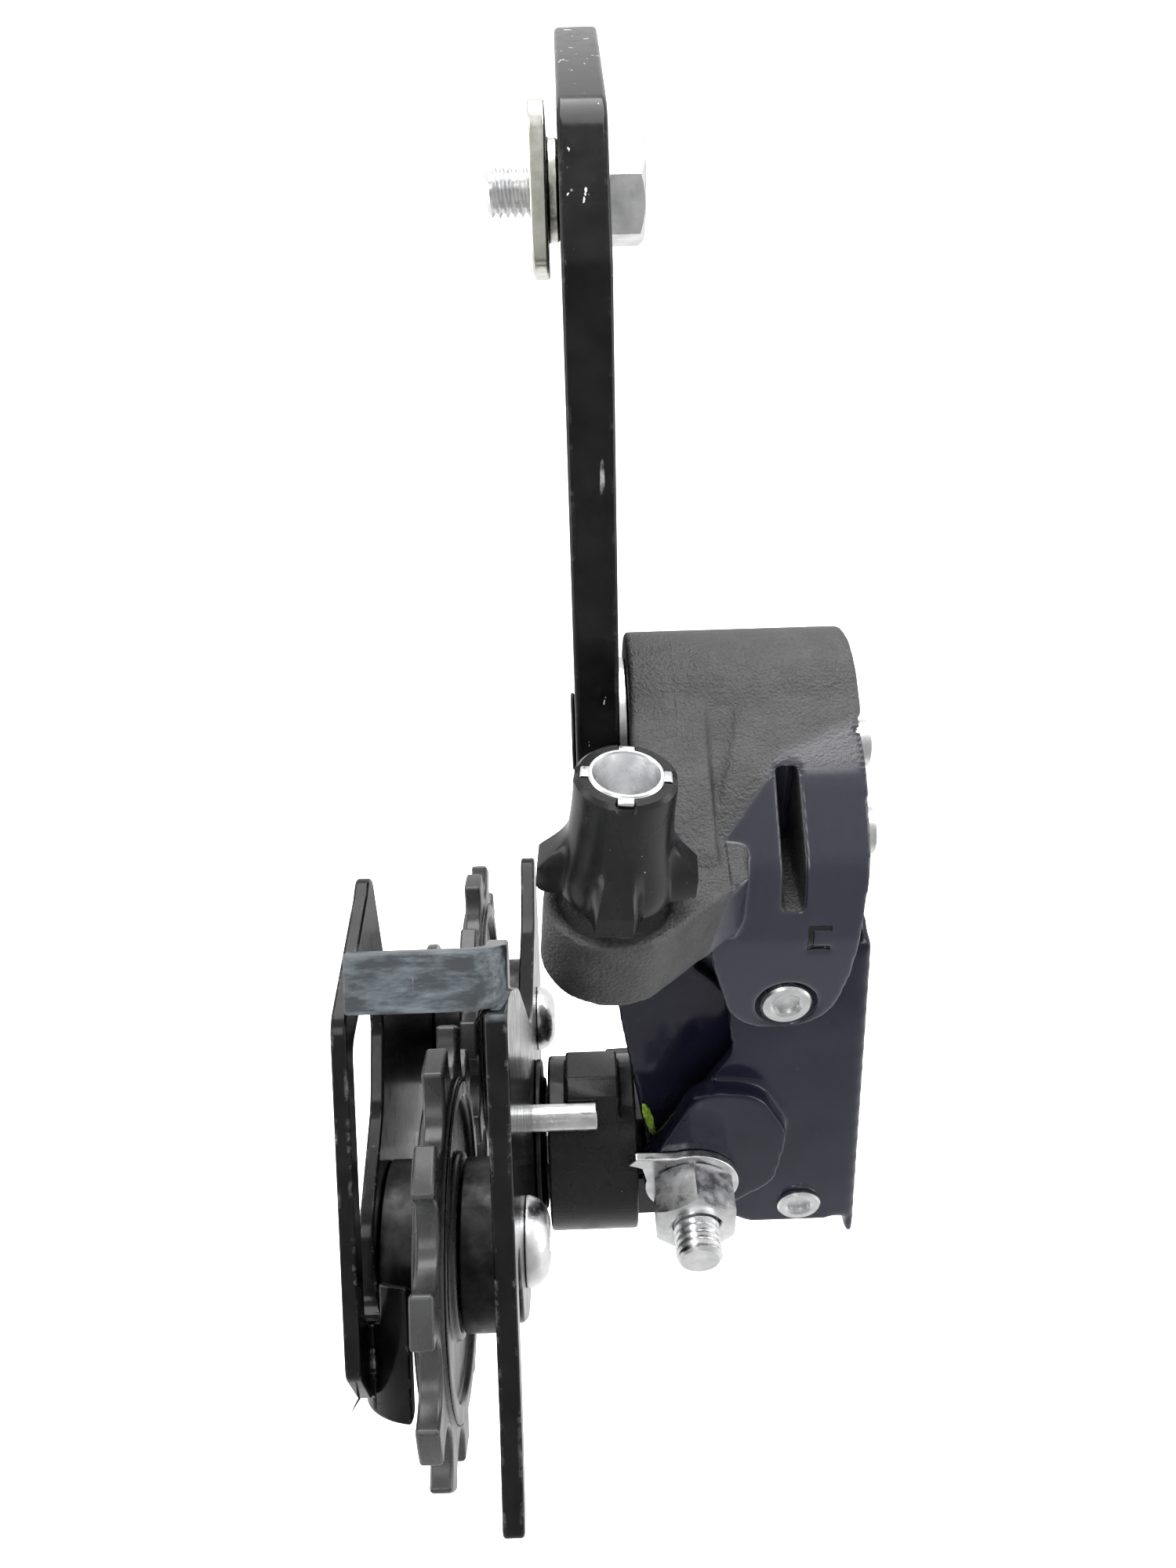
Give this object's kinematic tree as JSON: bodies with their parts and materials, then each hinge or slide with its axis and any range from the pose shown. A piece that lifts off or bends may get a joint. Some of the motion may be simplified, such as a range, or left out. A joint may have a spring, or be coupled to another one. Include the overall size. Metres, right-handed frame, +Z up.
{
  "type": "rear bicycle derailleur",
  "caption": "Rear bicycle derailleur with a claw hanger, barrel adjuster, steel parallelogram links and a sprung long cage with toothed pulleys.",
  "frame": {"origin": "centre of the wheel axle in the hanger's slot, on the hanger's inner face", "axes": "+X outboard, away from the wheel; +Y forward along the bicycle; +Z up"},
  "size_m": [0.0635, 0.0999, 0.1562],
  "materials": {
    "black_steel": "gloss black coated steel with bright scuffs",
    "link_steel": "gloss blue-black coated steel",
    "zinc": "zinc-plated steel",
    "chromate_zinc": "zinc-plated steel with a yellow chromate tint",
    "knuckle_plastic": "fine-grained moulded black nylon",
    "knob_plastic": "satin black moulded plastic",
    "pulley_plastic": "semi-gloss black moulded plastic",
    "spring_steel": "drawn spring steel",
    "black_metal": "black oxide steel"
  },
  "bodies": {
    "hanger": {"hanger_bracket": "black_steel", "hanger_bolt": "zinc", "hanger_nut": "chromate_zinc", "b_pivot_axle": "black_metal", "b_pivot_washer": "zinc"},
    "upper_knuckle": {"b_knuckle": "knuckle_plastic", "upper_outer_pin": "zinc", "upper_inner_pin": "zinc", "return_spring": "spring_steel", "adjuster_spring": "spring_steel"},
    "high_screw": {"high_limit_screw": "zinc"},
    "low_screw": {"low_limit_screw": "zinc"},
    "adjuster_stem": {"adjuster_insert": "zinc"},
    "adjuster_grip": {"adjuster_knob": "knob_plastic"},
    "outer_arm": {"outer_link": "link_steel", "lower_outer_pin": "zinc", "anchor_bolt": "zinc", "anchor_washer": "zinc", "anchor_nut": "zinc"},
    "inner_arm": {"inner_link": "link_steel"},
    "lower_knuckle": {"p_knuckle": "knuckle_plastic", "lower_inner_pin": "zinc", "cage_spring": "spring_steel"},
    "cage": {"cage_axle": "zinc", "cage_axle_clip": "spring_steel", "cage_pivot_cover": "black_metal", "outer_cage_plate": "black_steel", "inner_cage_plate": "black_steel", "cage_stop_pin": "zinc", "guide_bush": "zinc", "guide_caps": "black_metal", "guide_bolt": "zinc", "guide_nut": "zinc", "tension_bush": "zinc", "tension_caps": "black_metal", "tension_bolt": "zinc", "tension_nut": "zinc"},
    "guide_wheel": {"guide_pulley": "pulley_plastic"},
    "tension_wheel": {"tension_pulley": "pulley_plastic"}
  },
  "joints": [
    {"name": "hanger_pivot", "type": "hinge", "parent": "hanger", "child": "upper_knuckle", "pos_m": [0.018, -0.0149, -0.0667], "axis": [1, 0, 0], "range_deg": [-25, 10]},
    {"name": "shift", "type": "hinge", "parent": "upper_knuckle", "child": "outer_arm", "pos_m": [0.0234, -0.01937, -0.08925], "axis": [0, 0.9511, 0.309], "range_deg": [0, 52], "stiffness_Nm_per_rad": 0.35, "springref_deg": -51.57},
    {"name": "inner_arm_pivot", "type": "hinge", "parent": "upper_knuckle", "child": "inner_arm", "pos_m": [0.0084, -0.01937, -0.08925], "axis": [0, 0.9511, 0.309], "range_deg": [0, 52]},
    {"name": "lower_knuckle_pivot", "type": "hinge", "parent": "outer_arm", "child": "lower_knuckle", "pos_m": [0.029, -0.00605, -0.13024], "axis": [0, 0.9511, 0.309], "range_deg": [-52, 0]},
    {"name": "cage_pivot", "type": "hinge", "parent": "lower_knuckle", "child": "cage", "pos_m": [-0.002, -0.0159, -0.1265], "axis": [1, 0, 0], "range_deg": [0, 95], "stiffness_Nm_per_rad": 0.12, "springref_deg": -91.67},
    {"name": "guide_spin", "type": "hinge", "parent": "cage", "child": "guide_wheel", "pos_m": [-0.0155, 0.0018, -0.1173], "axis": [1, 0, 0], "continuous": true},
    {"name": "tension_spin", "type": "hinge", "parent": "cage", "child": "tension_wheel", "pos_m": [-0.0155, -0.0503, -0.1136], "axis": [1, 0, 0], "continuous": true},
    {"name": "adjuster_travel", "type": "slide", "parent": "upper_knuckle", "child": "adjuster_stem", "axis": [0.074, -0.3322, 0.9403], "range_m": [0, 0.0024]},
    {"name": "adjuster_turn", "type": "hinge", "parent": "adjuster_stem", "child": "adjuster_grip", "pos_m": [0.00401, -0.04764, -0.06752], "axis": [0.074, -0.3322, 0.9403], "range_deg": [0, 1081]},
    {"name": "high_limit_turn", "type": "hinge", "parent": "upper_knuckle", "child": "high_screw", "pos_m": [0.032, -0.0262, -0.0656], "axis": [1, 0, 0], "range_deg": [-360, 360]},
    {"name": "low_limit_turn", "type": "hinge", "parent": "upper_knuckle", "child": "low_screw", "pos_m": [0.032, -0.0306, -0.0746], "axis": [1, 0, 0], "range_deg": [-360, 360]}
  ],
  "couplings": [
    {"joint": "inner_arm_pivot", "follows": "shift", "ratio": 1},
    {"joint": "lower_knuckle_pivot", "follows": "shift", "ratio": -1},
    {"joint": "adjuster_turn", "follows": "adjuster_travel", "rad_per_m": 7854}
  ]
}
